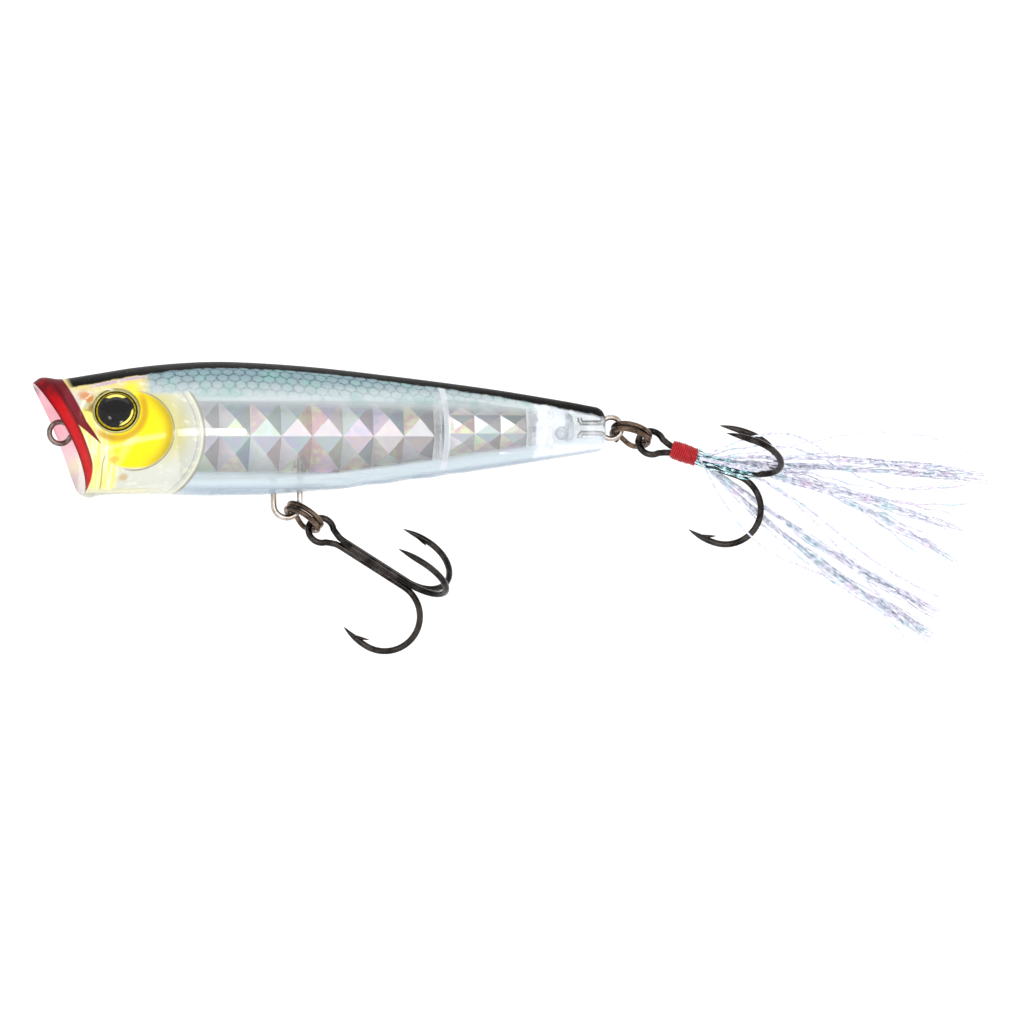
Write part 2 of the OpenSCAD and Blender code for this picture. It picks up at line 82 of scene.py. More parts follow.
class Value:
    """A socket in the material being made. Arithmetic on it adds Math nodes."""

    tree = None

    def __init__(self, socket):
        self.socket = socket

    @classmethod
    def node(cls, kind, settings=None, sockets=None, out=0):
        """Makes any node: its settings are set first, then the values or links of its sockets."""
        made = cls.tree.nodes.new(kind)
        for name, value in (settings or {}).items():
            if name == "stops":
                ramp = made.color_ramp.elements
                while len(ramp) < len(value):
                    ramp.new(0.5)
                for stop, (place, colour) in zip(ramp, value):
                    stop.position, stop.color = place, colour
            else:
                setattr(made, name, value)
        for name, value in (sockets or {}).items():
            if isinstance(value, Value):
                cls.tree.links.new(value.socket, made.inputs[name])
            else:
                made.inputs[name].default_value = value
        return cls(made.outputs[out])

    def math(self, operation, *others):
        sockets = {0: self}
        sockets.update({i + 1: other for i, other in enumerate(others)})
        return Value.node("ShaderNodeMath", {"operation": operation}, sockets)

    def __add__(self, other):
        return self.math("ADD", other)

    def __radd__(self, other):
        return self.math("ADD", other)

    def __sub__(self, other):
        return self.math("SUBTRACT", other)

    def __rsub__(self, other):
        return Value.node("ShaderNodeMath", {"operation": "SUBTRACT"}, {0: other, 1: self})

    def __mul__(self, other):
        return self.math("MULTIPLY", other)

    def __rmul__(self, other):
        return self.math("MULTIPLY", other)

    def __truediv__(self, other):
        return self.math("DIVIDE", other)

    def __pow__(self, other):
        return self.math("POWER", other)

    def __abs__(self):
        return self.math("ABSOLUTE")

    def least(self, other):
        return self.math("MINIMUM", other)

    def most(self, other):
        return self.math("MAXIMUM", other)

    def rise(self, start, end, low=0.0, high=1.0):
        """low below start, high above end, and smooth between; start may be past end."""
        sockets = {"Value": self, "From Min": start, "From Max": end, "To Min": low, "To Max": high}
        return Value.node("ShaderNodeMapRange", {"interpolation_type": "SMOOTHSTEP"}, sockets)

    def near(self, centre, inner, outer):
        """1 within inner of centre, 0 beyond outer."""
        return abs(self - centre).rise(outer, inner)


def paint(red, green, blue):
    """A screen colour, 0 to 255, as the shader's own linear colour."""
    return tuple((c / 12.92 if c <= 0.04045 else ((c + 0.055) / 1.055) ** 2.4) for c in
                 (red / 255, green / 255, blue / 255)) + (1.0,)


def tint(under, over, share):
    """Colour under with share of the colour over laid on it."""
    return Value.node("ShaderNodeMix", {"data_type": "RGBA"}, {0: share, 6: under, 7: over}, out=2)


def material(name):
    """Starts a material; the nodes made next belong to it."""
    made = bpy.data.materials.new(name)
    made.use_nodes = True
    Value.tree = made.node_tree
    made.node_tree.nodes.clear()
    return made


def position(kind="Object"):
    """The place on the piece in millimetres, whole and as its three parts."""
    coordinates = Value.node("ShaderNodeTexCoord", out=kind)
    sockets = {0: coordinates, "Scale": 1 / MM}
    millimetres = Value.node("ShaderNodeVectorMath", {"operation": "SCALE"}, sockets)
    parts = Value.node("ShaderNodeSeparateXYZ", sockets={0: millimetres}).socket.node.outputs
    return millimetres, *[Value(part) for part in parts]


def noise(vector, scale, detail=2.0, roughness=0.5):
    sockets = {"Vector": vector, "Scale": scale, "Detail": detail, "Roughness": roughness}
    return Value.node("ShaderNodeTexNoise", sockets=sockets)


def bump(height, distance, strength=1.0):
    sockets = {"Height": height, "Distance": distance, "Strength": strength}
    return Value.node("ShaderNodeBump", sockets=sockets)


def surface(**sockets):
    """A Principled shader; underscores in the names stand for spaces."""
    named = {name.replace("_", " "): value for name, value in sockets.items()}
    return Value.node("ShaderNodeBsdfPrincipled", sockets=named)


def mixed(under, over, share):
    """Two shaders laid over each other; share is how much of the second shows."""
    return Value.node("ShaderNodeMixShader", sockets={0: share, 1: under, 2: over})


def done(shader):
    output = Value.tree.nodes.new("ShaderNodeOutputMaterial")
    Value.tree.links.new(shader.socket, output.inputs["Surface"])


def edit_all(obj, operator, **settings):
    """Runs one edit-mode operator on the whole of an object's mesh."""
    bpy.ops.object.select_all(action="DESELECT")
    obj.select_set(True)
    bpy.context.view_layer.objects.active = obj
    bpy.ops.object.mode_set(mode="EDIT")
    bpy.ops.mesh.select_all(action="SELECT")
    operator(**settings)
    bpy.ops.object.mode_set(mode="OBJECT")


floor_z = cad_low.z - 8 * MM
floor_radius, curve_radius, wall_top, floor_sides = 3.2, 1.2, 3.2, 48
profile = [(0, 0), (0.3, 0), (1.0, 0), (2.0, 0), (floor_radius, 0)]
for sweep in range(10, 91, 10):
    a = math.radians(sweep)
    profile.append((floor_radius + curve_radius * math.sin(a), curve_radius * (1 - math.cos(a))))
profile.append((floor_radius + curve_radius, wall_top))
bpy.ops.object.select_all(action="DESELECT")
bpy.ops.mesh.primitive_grid_add(x_subdivisions=len(profile) - 1, y_subdivisions=floor_sides, size=2)
room = bpy.context.object
room.name = "studio_floor"
for v in room.data.vertices:
    radius, up = profile[round((v.co.x + 1) / 2 * (len(profile) - 1))]
    turn = (v.co.y + 1) * math.pi
    v.co = (radius * math.cos(turn), radius * math.sin(turn), floor_z + up)
edit_all(room, bpy.ops.mesh.remove_doubles, threshold=1e-5)
bpy.ops.object.shade_smooth()
room_paint = material("studio_white")
at, *_ = position()
done(surface(Base_Color=tint(paint(251, 251, 251), paint(248, 249, 250), noise(at, 0.02)), Roughness=0.9,
             Emission_Color=paint(255, 255, 255), Emission_Strength=0.16))
room.data.materials.append(room_paint)

world = bpy.data.worlds.new("studio_air")
world.use_nodes = True
world.node_tree.nodes["Background"].inputs["Color"].default_value = (1.0, 1.0, 1.0, 1)
world.node_tree.nodes["Background"].inputs["Strength"].default_value = 1.0
bpy.context.scene.world = world

soft_boxes = [
    ("box_over", (0.03, -0.2, 0.7), (0.8, 0.2), 0.7),
    ("box_front", (-0.35, -0.75, 0.3), (0.12, 0.16), 0.5),
    ("box_low", (0.1, -0.8, 0.03), (0.12, 0.12), 0.8),
    ("box_behind", (0.1, 0.5, 0.35), (0.8, 0.3), 0.3),
]
for name, place, (wide, tall), power in soft_boxes:
    turned = (aim - Vector(place)).to_track_quat("-Z", "Y").to_euler()
    bpy.ops.object.light_add(type="AREA", location=place, rotation=turned)
    box = bpy.context.object
    box.name = name
    box.data.shape = "RECTANGLE"
    box.data.size, box.data.size_y, box.data.energy = wide, tall, power


# ---------------------------------------------------------------- Body shells
# Two clear moulded halves, welded along the middle plane. The front is dished to a
# cup, and the paint is sprayed on the outside: dark back, scales, red lips, yellow
# gill patch. The flank is left clear, so that the prism panels show through it.
lip_station, tail_station, tail_end = -0.79, 70.3, 71.3
back_line = [(lip_station, 6.4), (0.4, 7.15), (2.2, 6.95), (6, 7.6), (10.5, 8.45), (16, 9.05),
             (22, 9.2), (32, 8.62), (43, 7.42), (56, 5.75), (66, 4.15), (tail_station, 3.35)]
belly_line = [(lip_station, -8.1), (0.4, -8.43), (2.2, -8.15), (6, -7.98), (12, -7.95), (20, -8.18),
              (26, -8), (34, -7.5), (46, -6.08), (58, -4.4), (tail_station, -2.45)]
flank_line = [(lip_station, 6.75), (2.2, 6.7), (8, 7), (20, 7.5), (32, 7.15), (46, 5.85),
              (60, 4.1), (tail_station, 2.85)]
wall, cup_depth, chamber_end = 1.4, 3.2, 67.2
mouth_lean, lean_reach = 0.439, 17


def smooth_line(points, x):
    """A smooth curve through given points, and its value at x."""
    last = len(points) - 1
    i = max(k for k in range(last) if k == 0 or x >= points[k][0])

    def slope(k):
        (x0, y0), (x1, y1) = points[max(k - 1, 0)], points[min(k + 1, last)]
        return (y1 - y0) / (x1 - x0)

    (x0, y0), (x1, y1) = points[i], points[i + 1]
    t = min(max((x - x0) / (x1 - x0), 0), 1)
    s, d = 1 - t, x1 - x0
    ease = y0 * (1 + 2 * t) * s * s + y1 * (3 - 2 * t) * t * t
    return ease + slope(i) * d * t * s * s - slope(i + 1) * d * s * t * t


def mouthness(station):
    return max(0, 1 - (station - lip_station) / lean_reach) ** 1.5


def skin(station, angle, inset=0.0, shrink=1.0):
    """A point of the left flank, in millimetres; angle runs from 0 at the back to 180 below."""
    m = mouthness(station)
    top, low = smooth_line(back_line, station) - inset, smooth_line(belly_line, station) + inset
    half = smooth_line(flank_line, station) - inset
    c, sine = math.cos(math.radians(angle)), max(math.sin(math.radians(angle)), 0)
    z = (top + low) / 2 + shrink * (top - low) / 2 * c
    y = shrink * half * sine ** 0.84 * (1 - (0.06 + 0.26 * m) * c)
    dish = m * max(0, 1 - ((z + 0.9) / 7.4) ** 2)
    return Vector((station - mouth_lean * m * z + dish, -y if 0 < angle < 180 else 0, z))


def cup_point(middle_x, station, angle, inset, share):
    """A point of a dished wall, from its middle at share 0 to its edge at share 1."""
    edge, centre = skin(station, angle, inset), Vector((middle_x, 0, -0.9))
    p = centre.lerp(edge, share)
    return Vector((centre.x + (edge.x - centre.x) * share * share, p.y, p.z))


def steps(start, end, pitch):
    count = max(1, round((end - start) / pitch))
    return [start + (end - start) * i / count for i in range(count)]


def ring_of_rows(name, rows, columns, faces_of):
    """A grid wrapped to the given rows, each a function of the angle; end rows close to a point."""
    bpy.ops.mesh.primitive_grid_add(x_subdivisions=len(rows) - 1, y_subdivisions=columns, size=2)
    made = bpy.context.object
    made.name = name
    mesh = made.data
    uv = mesh.uv_layers.active.data
    place = {}
    for v in mesh.vertices:
        i = round((v.co.x + 1) / 2 * (len(rows) - 1))
        angle = round((v.co.y + 1) / 2 * columns) * 180 / columns
        v.co, station = rows[i](angle)
        place[v.index] = (station, angle, i)
    for loop in mesh.loops:
        station, angle, _ = place[loop.vertex_index]
        uv[loop.index].uv = (station * MM, girth(station, angle) * MM)
    for shell_paint in shell_paints:
        mesh.materials.append(shell_paint)
    for face in mesh.polygons:
        face.material_index = faces_of(min(place[v][2] for v in face.vertices))
    edit_all(made, bpy.ops.mesh.remove_doubles, threshold=2e-6)
    return made


def girth(station, angle):
    """Distance round the section from the back, close enough for the pattern of scales."""
    tall = (smooth_line(back_line, station) - smooth_line(belly_line, station)) / 2
    return math.radians(angle) * (tall + smooth_line(flank_line, station)) / 2


def skin_row(station, inset=0.0, shrink=1.0):
    return lambda angle: (relief(skin(station, angle, inset, shrink), inset) * MM, station)


def cup_row(middle_x, station, inset, share):
    return lambda angle: (cup_point(middle_x, station, angle, inset, share) * MM, station)


gill_centre, gill_radius = Vector((7.4, 0, -0.4)), 10.7
cheek_centre, cheek_radius = Vector((8.7, 0, 0.3)), 5.1


def ridge(distance, width, height):
    return height * math.exp(-((distance / width) ** 2))


def relief(p, inset):
    """Raised gill covers and the fine ribs along the belly."""
    if inset:
        return p
    behind = 1 if p.x > 11 else max(0, (p.x - 8) / 3)
    lift = ridge((Vector((p.x, 0, p.z)) - gill_centre).length - gill_radius, 0.5, 0.16) * behind
    lift += ridge((Vector((p.x, 0, p.z)) - cheek_centre).length - cheek_radius, 0.35, 0.07)
    lift *= min(1, max(0, -p.y - 2.5) / 2)
    if p.z < -4.8 and 18 < p.x < 62:
        fade = min((p.x - 18) / 3, 1, (62 - p.x) / 6, (-4.8 - p.z) / 0.6)
        lift += 0.05 * max(fade, 0) * math.cos(p.z * 2 * math.pi / 0.72)
    out = Vector((0, p.y, p.z - 0.4))
    return p + out.normalized() * lift if out.length > 0.01 else p


def clear_plastic():
    """Clear moulded plastic: see-through, and shiny where it is seen at a glance."""
    edge_on = Value.node("ShaderNodeLayerWeight", sockets={"Blend": 0.5}, out=1)
    glance = edge_on ** 5.0 * 0.6 + 0.03
    gloss = surface(Base_Color=paint(255, 255, 255), Metallic=1.0, Roughness=0.04)
    return mixed(Value.node("ShaderNodeBsdfTransparent"), gloss, glance)


def honeycomb(a, b):
    """Distance from the middle of the nearest hexagon: 0.5 at its sides."""

    def lattice(shift):
        u = abs((a + shift).math("FLOORED_MODULO", 1.0) - 0.5)
        v = abs((b + shift * math.sqrt(3)).math("FLOORED_MODULO", math.sqrt(3)) - math.sqrt(3) / 2)
        return u.most(u * 0.5 + v * (math.sqrt(3) / 2))

    return lattice(0.0).least(lattice(0.5))


skin_paint = material("painted_clear_skin")
at, x, y, z = position()
_, station, girth_down, _ = position("UV")
mottle, grain = noise(at, 0.9, 4), noise(at, 3.5, 3)

# Flank, belly and scales
upper_edge = 4.3 - (x - 16) * 0.03
into_scales = z - upper_edge
from_keel = z + 7.5 - (x - 34).most(0.0) * 0.139
belly = z.rise(-4.6, -5.6).most(from_keel.rise(2.7, 1.7) * x.rise(28, 36))
colour = tint(paint(216, 220, 222), paint(198, 211, 218), belly)
colour = tint(colour, paint(168, 184, 196), z.near(-7.0, 0.0, 0.5) * belly * 0.5)
scale_tone = tint(paint(196, 208, 211), paint(128, 152, 160), into_scales.rise(0.4, 3.6))
scale_tone = tint(scale_tone, paint(130, 182, 172), noise(at, 0.35, 3).rise(0.45, 0.62) * 0.5)
colour = tint(colour, scale_tone, into_scales.rise(-0.9, 1.2))
scale = honeycomb(station / 1.52, girth_down / 1.32)
outline = scale.rise(0.32, 0.47) * into_scales.rise(-0.2, 3.6) * grain.rise(0.35, 0.6, 0.2, 0.85)
colour = tint(colour, paint(34, 74, 82), outline * 0.85)
cover = into_scales.rise(-1.2, 0.8, 0.14, 0.7).most(into_scales.rise(0.5, 3.0) * 0.92)
cover = cover.most(belly * from_keel.rise(2.6, 0.3, 0.55, 0.88)).most(outline)

# The ribs and the bulkhead show as cloudy bands, and the solid tail as milky patches
curved = x + z * z * 0.012
rib_band = curved.near(49.85, 0.32, 0.5) * from_keel.rise(0.3, 0.7)
bulkhead_band = (curved + mottle.rise(0.3, 0.7, -0.3, 0.3)).near(62.9, 0.7, 1.4)
patches = noise(at, 0.4, 2, 0.5)
tail_tone = tint(paint(222, 229, 240), paint(160, 180, 186), patches.rise(0.45, 0.62) * z.rise(-1.5, 1.5))
tail_tone = tint(tail_tone, paint(250, 251, 254), z.rise(-1.2, -2.0) * patches.rise(0.3, 0.5, 0.6, 1.0))
solid_tail = x.rise(63.8, 64.4)
colour = tint(colour, tail_tone, solid_tail * 0.85)
cover = cover.most(solid_tail * patches.rise(0.35, 0.6, 0.5, 0.28).most(z.rise(-1.2, -2.0) * 0.7))
colour = tint(colour, paint(216, 221, 226), rib_band * 0.9)
colour = tint(colour, paint(232, 237, 246), bulkhead_band * 0.9)
cover = cover.most(rib_band * 0.6).most(bulkhead_band * mottle.rise(0.3, 0.6, 0.82, 0.62))
keel_line = from_keel.rise(0.7, 0.1) * x.rise(8, 20)
colour = tint(colour, paint(140, 156, 172), keel_line * 0.75)

# Head: pale yellow jaw and brow, bright gill patch, amber round the eye
head_side = ((x - 7.4) ** 2.0 + (z + 0.4) ** 2.0) ** 0.5
cheek_side = ((x - 8.7) ** 2.0 + (z - 0.3) ** 2.0) ** 0.5
eye_side = ((x - 6.45) ** 2.0 + (z - 3.0) ** 2.0) ** 0.5
head = head_side.rise(10.6, 10.3).most(x.rise(7.6, 7.2)) * (1 - x.rise(9.8, 11.4) * z.rise(4.6, 5.4))
cover_tone = tint(paint(214, 216, 204), paint(208, 202, 136), cheek_side.rise(8.5, 5.2) * z.rise(-5.5, -1.0))
cover_tone = tint(cover_tone, paint(244, 242, 216), mottle.rise(0.55, 0.68) * 0.7)
colour = tint(colour, cover_tone, head)
cover = cover + head * (cheek_side.rise(5.2, 10.0, 0.82, 0.62) - cover)
brow = head * z.rise(4.4, 6.0)
beside_back = girth_down - 4.1 + station * 0.02
mauve_line = beside_back.near(0.45, 0.1, 0.5) * x.rise(2.5, 4.5)
brow_tone = tint(paint(226, 208, 132), paint(196, 172, 196), mauve_line)
colour = tint(colour, tint(brow_tone, paint(240, 232, 190), mottle.rise(0.5, 0.65) * 0.6), brow)
jaw = x.rise(7.2, 6.0) * z.rise(3.6, 2.6)
stripe = Value.node("ShaderNodeTexNoise", sockets={"Vector": Value.node("ShaderNodeCombineXYZ", sockets={
    0: x * 2.2, 1: 0.0, 2: z * 0.18}), "Scale": 1.0, "Detail": 2.0})
jaw_tone = tint(paint(238, 230, 116), paint(246, 242, 196), stripe.rise(0.4, 0.65))
colour = tint(colour, jaw_tone, jaw)
colour = tint(colour, paint(236, 214, 30), jaw * x.rise(4.6, 6.0) * z.near(-1.2, 0.5, 1.6) * 0.9)
groove = (x - 4.55 - z.rise(-4.5, -2.0) * 0.5).near(0.0, 0.02, 0.16) * z.near(-5.3, 2.0, 2.9)
colour = tint(colour, paint(120, 108, 60), groove * 0.7)
cover = cover.most(jaw * 0.9).most(brow * 0.9)
gill = cheek_side.rise(5.12, 4.9) * x.rise(5.6, 6.4) * z.rise(-4.9, -4.3)
gill_tone = tint(paint(238, 218, 0), paint(186, 156, 0), cheek_side.rise(3.2, 5.1) * x.rise(8.5, 13.0))
gill_tone = tint(gill_tone, paint(252, 244, 120), (x - z * 0.6).near(8.8, 0.1, 1.1) * z.rise(1.0, -1.0) * 0.6)
colour = tint(colour, gill_tone, gill)
cover = cover.most(gill * 0.96)
amber = eye_side.near(3.7, 0.1, 0.75) * (x * 0.8 - z).rise(1.2, 4.4)
colour = tint(colour, paint(196, 148, 20), amber * 0.85)
spots = [(2.9, 4.6, 1.5, 0.9, (212, 122, 8)), (3.4, 3.1, 1.0, 0.85, (140, 88, 30)),
         (6.3, -3.4, 0.9, 0.6, (214, 160, 40)), (7.4, -5.9, 1.0, 0.6, (196, 150, 60))]
for spot_x, spot_z, spot_size, strength, spot_paint in spots:
    far_off = ((x - spot_x) ** 2.0 + ((z - spot_z) * 1.4) ** 2.0) ** 0.5 + mottle.rise(0.3, 0.7, -0.3, 0.3)
    colour = tint(colour, paint(*spot_paint), far_off.rise(spot_size, spot_size * 0.3) * strength)
yellow_brow = (((x - 8.7) ** 2.0 + (z - 5.6) ** 2.0) ** 0.5).rise(1.5, 0.4)
colour = tint(colour, paint(242, 222, 40), yellow_brow)
cover = cover.most(amber * 0.9).most(yellow_brow * 0.9)
arcs = head_side.near(10.4, 0.03, 0.22) * x.rise(8.0, 12.0)
arcs = arcs.most(cheek_side.near(5.15, 0.03, 0.16) * x.rise(6.0, 9.0))
arcs = arcs.most(head_side.near(9.5, 0.02, 0.12) * x.rise(10.0, 14.0) * 0.5) * z.rise(5.6, 4.8)
# A pale line inside the outer gill arc is a painted highlight along its ridge
gill_ridge_highlight = head_side.near(10.05, 0.03, 0.2) * x.rise(8.0, 12.0) * z.rise(5.6, 4.8)
colour = tint(colour, paint(240, 238, 214), gill_ridge_highlight)
colour = tint(colour, paint(116, 106, 66), arcs * 0.75)
cover = cover.most(arcs * 0.85)
hem = z.rise(-6.9, -7.5) * x.rise(16.0, 9.0)
colour = tint(colour, paint(216, 212, 172), hem)
colour = tint(colour, paint(158, 158, 146), z.rise(-7.6, -7.95) * hem * 0.8)
cover = cover.most(hem * 0.95)

# Red lips: one stroke along the rim, a second beside it
behind_rim = station - lip_station
rim_stroke = (z.rise(-7.8, -3.4) ** 0.55 * 1.95).most(z.rise(0.7, 1.3, 0.0, 3.1))
lip = (rim_stroke - behind_rim).rise(-0.1, 0.1)
second_low, second_high = 2.78 - z * 0.86, 3.2 + (1.5 - z).most(0.0) * 0.31
second = (second_high - behind_rim).least(behind_rim - second_low)
lip = lip.most(second.rise(-0.08, 0.1) * z.rise(-1.9, -1.5))
lip_shade = behind_rim.rise(0.6, 0.0).most(behind_rim.rise(1.3, 1.95))
lip_tone = tint(paint(186, 0, 12), paint(104, 0, 8), lip_shade)
lip_tone = tint(lip_tone, paint(92, 2, 16), z.rise(3.4, 6.2) * mottle.rise(0.3, 0.6, 0.6, 1.0))
lip_tone = tint(lip_tone, paint(112, 0, 26), behind_rim.rise(1.7, 2.3) * z.rise(7.0, 4.0))
lip_tone = tint(lip_tone, paint(70, 4, 16), behind_rim.near(1.9, 0.02, 0.22) * z.rise(0.5, 2.0) * 0.8)
colour = tint(colour, lip_tone, lip)
cover = cover.most(lip * 0.96)

# Black back with a few bronze flecks
back_width = 4.1 - station * 0.02 + mottle.rise(0.3, 0.7, -0.15, 0.15)
back = (back_width - girth_down).rise(-0.2, 0.2) * (station - z * 0.1).rise(1.7, 2.5)
back_tone = tint(paint(4, 4, 4), paint(84, 74, 30), grain.rise(0.6, 0.72, 0.0, 0.5))
colour = tint(colour, back_tone, back)
cover = cover.most(back)
matt = back.most(lip * z.rise(2.0, 4.0))
# The paint also glows faintly in its own colour, which is painted light
gloss = surface(Base_Color=colour, Roughness=mottle.rise(0.3, 0.7, 0.24, 0.34).most(matt * 0.5),
                Coat_Weight=(1 - matt) * 0.35, Coat_Roughness=0.05, Specular_IOR_Level=0.08,
                Emission_Color=colour, Emission_Strength=0.05,
                Normal=bump(scale.rise(0.44, 0.5) * into_scales.rise(0, 1), 0.00003, 0.4))
done(mixed(clear_plastic(), gloss, cover))

cup_paint = material("cup_lacquer")
at, x, y, z = position()
mottle = noise(at, 0.5)
from_rim = ((y / 6.6) ** 2.0 + ((z + 0.9) / 7.4) ** 2.0) ** 0.5
pink = tint(paint(240, 206, 212), paint(240, 158, 174), z.rise(-5.5, 1.5) * mottle.rise(0.3, 0.6, 0.7, 1.0))
streak = (z + 3.2 + abs(y) * 0.25).near(0, 0.1, 1.8) * mottle.rise(0.3, 0.6, 0.4, 1.0)
pink = tint(pink, paint(244, 232, 168), streak * 0.7)
pink = tint(pink, paint(186, 16, 44), from_rim.rise(0.9, 1.0) * z.rise(-2.0, 2.5))
pink = tint(pink, paint(120, 10, 25), from_rim.rise(0.86, 0.97) * z.rise(4.0, 5.5))
done(mixed(clear_plastic(), surface(Base_Color=pink, Roughness=0.22, Coat_Weight=1.0, Coat_Roughness=0.05),
           z.rise(-7.5, -3.0, 0.45, 0.9)))

clear_paint = material("clear_moulding")
done(clear_plastic())

cloudy_paint = material("cloudy_rib")
at, *_ = position()
haze = noise(at, 1.3, 4)
done(mixed(clear_plastic(), surface(Base_Color=tint(paint(236, 239, 246), paint(214, 220, 230), haze),
                                    Roughness=0.35), haze.rise(0.3, 0.7, 0.45, 0.85)))
shell_paints = [skin_paint, cup_paint, clear_paint, cloudy_paint]

skin_columns = 96
cup_shares = [0, 0.12, 0.25, 0.38, 0.5, 0.61, 0.71, 0.8, 0.88, 0.94, 0.98]
outer_rows = [cup_row(cup_depth, lip_station, 0, share) for share in cup_shares]
cup_rows = len(outer_rows)
outer_rows += [skin_row(s) for s in steps(lip_station, 20, 0.28) + steps(20, tail_station, 0.5)]
outer_rows += [skin_row(s, 0, shrink) for s, shrink in
               [(tail_station, 1), (70.6, 0.95), (70.9, 0.87), (71.1, 0.78), (71.25, 0.66), (tail_end, 0.55)]]
outer_rows.append(lambda angle: (Vector((tail_end, 0, 0.45)) * MM, tail_end))
left_shell = ring_of_rows("left_shell", outer_rows, skin_columns, lambda row: 1 if row < cup_rows else 0)

inner_columns, vent = 32, 0.12
ribs = [(49.1, 49.95), (61.5, 63.9)]
inner_rows = [cup_row(cup_depth + wall, 5.2, wall, share) for share in (0, 0.3, 0.6, 0.85)]
chamber_starts = [5.2] + [back for _, back in ribs]
chamber_ends = [front for front, _ in ribs] + [66.4]
rib_rows = set()
for start, end in zip(chamber_starts, chamber_ends):
    inner_rows += [skin_row(s, wall) for s in steps(start, end, 1.4) + [end]]
    rib_rows.update(range(len(inner_rows) - 1, len(inner_rows) + 2))
    if end < 66:
        back = dict(ribs)[end]
        inner_rows += [skin_row(end + 0.05, wall, vent), skin_row(back - 0.05, wall, vent)]
inner_rows += [skin_row(67, wall, 0.85), skin_row(67.15, wall, 0.6), skin_row(chamber_end, wall, 0.3)]
inner_rows.append(lambda angle: (Vector((chamber_end, 0, 0.45)) * MM, chamber_end))
chamber = ring_of_rows("chamber", inner_rows, inner_columns, lambda row: 3 if row in rib_rows else 2)

bpy.ops.object.select_all(action="DESELECT")
chamber.select_set(True)
left_shell.select_set(True)
bpy.context.view_layer.objects.active = left_shell
bpy.ops.object.join()
bpy.ops.object.mode_set(mode="EDIT")
bpy.ops.mesh.select_mode(type="EDGE")
bpy.ops.mesh.select_all(action="DESELECT")
bpy.ops.mesh.select_non_manifold(extend=False, use_wire=False, use_multi_face=False, use_non_contiguous=False)
bpy.ops.mesh.fill(use_beauty=True)
bpy.ops.mesh.select_all(action="SELECT")
bpy.ops.mesh.normals_make_consistent(inside=False)
bpy.ops.object.mode_set(mode="OBJECT")
for face in left_shell.data.polygons:
    if all(abs(left_shell.data.vertices[v].co.y) < 1e-7 for v in face.vertices):
        face.material_index = 2

# The socket for an eye is a flat-bottomed round recess in the cheek.
eye_station, eye_angle = 6.7, 67
socket_radius, socket_depth = 3.15, 0.9
eye_spot = skin(eye_station, eye_angle)
eye_out = (skin(eye_station, eye_angle + 4) - skin(eye_station, eye_angle - 4)).cross(
    skin(eye_station + 0.5, eye_angle) - skin(eye_station - 0.5, eye_angle)).normalized()
eye_stand = Matrix.Translation(eye_spot * MM) @ eye_out.to_track_quat("Z", "Y").to_matrix().to_4x4()
bpy.ops.mesh.primitive_cylinder_add(vertices=96, radius=socket_radius * MM, depth=6 * MM,
                                    location=(0, 0, (3 - socket_depth) * MM))
cutter = bpy.context.object
bpy.ops.object.transform_apply(location=True)
cutter.data.transform(eye_stand)
cutter.data.materials.append(clear_paint)
socket = left_shell.modifiers.new("socket", "BOOLEAN")
socket.object, socket.operation, socket.solver = cutter, "DIFFERENCE", "EXACT"
socket.material_mode = "TRANSFER"
bpy.context.view_layer.objects.active = left_shell
bpy.ops.object.modifier_apply(modifier="socket")
bpy.data.objects.remove(cutter)


def hand_over(piece, body, finish, *nodes):
    """A finished piece rides its body and stands for its nodes; its finish is not used."""
    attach(piece, body)
    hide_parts(*nodes)


def other_side(piece, name):
    """The same piece mirrored to the right of the middle plane."""
    twin = piece.copy()
    twin.data = piece.data.copy()
    twin.name = name
    bpy.context.collection.objects.link(twin)
    twin.data.transform(Matrix.Scale(-1, 4, (0, 1, 0)))
    edit_all(twin, bpy.ops.mesh.normals_make_consistent, inside=False)
    return twin


def smooth_edges(piece, degrees=35):
    bpy.ops.object.select_all(action="DESELECT")
    piece.select_set(True)
    bpy.context.view_layer.objects.active = piece
    bpy.ops.object.shade_smooth_by_angle(angle=math.radians(degrees))


smooth_edges(left_shell, 40)
right_shell = other_side(left_shell, "right_shell")
hand_over(left_shell, "root", "clear_shell", "left_body_shell")
hand_over(right_shell, "root", "clear_shell", "right_body_shell")


# ---------------------------------------------------------------- Prism panels
# Thin pressed plates of silvered plastic, stamped with four-sided pyramids that flash in all
# colours, with painted light and shade on their facets. A long one and a short one stand behind each flank.
panel_gap, panel_floor, plate_thickness = 0.2, 0.8, 0.35
# Painted light and shade: facets facing down are painted brightest, facing forward mid, facing up and to the
# rear darker
facet_light_and_shade_tints = {"below": [(240, 238, 238), (244, 232, 220), (228, 242, 234), (240, 228, 240), (244, 240, 222)],
               "above": [(172, 180, 186), (194, 198, 202), (182, 176, 188), (166, 184, 186)],
               "front": [(208, 208, 214), (220, 208, 198), (192, 198, 208), (214, 214, 217)],
               "rear": [(158, 156, 158), (182, 170, 160), (150, 160, 168), (196, 192, 190)]}
dice = random.Random(7)

prism_paint = material("silvered_prism")
at, x, y, z = position()
tone = Value.node("ShaderNodeAttribute", {"attribute_name": "facet"}, out="Color")
fine = noise(at, 1.1, 3)
rainbow = Value.node("ShaderNodeHueSaturation", sockets={
    "Hue": fine.rise(0.2, 0.8, 0.3, 0.7), "Saturation": 1.3, "Color": tone})
window = ((x - 31.0) ** 2.0 + ((z + 4.6) * 0.55) ** 2.0) ** 0.5
# The silvering also glows faintly in its own colour, which is painted light
done(mixed(Value.node("ShaderNodeBsdfTransparent"),
           surface(Base_Color=rainbow, Metallic=0.5, Roughness=fine.rise(0.3, 0.7, 0.12, 0.26),
                   Emission_Color=rainbow, Emission_Strength=0.05),
           fine.rise(0.3, 0.7, 0.86, 0.96) * window.rise(0.7, 1.2, 0.3, 1.0)))


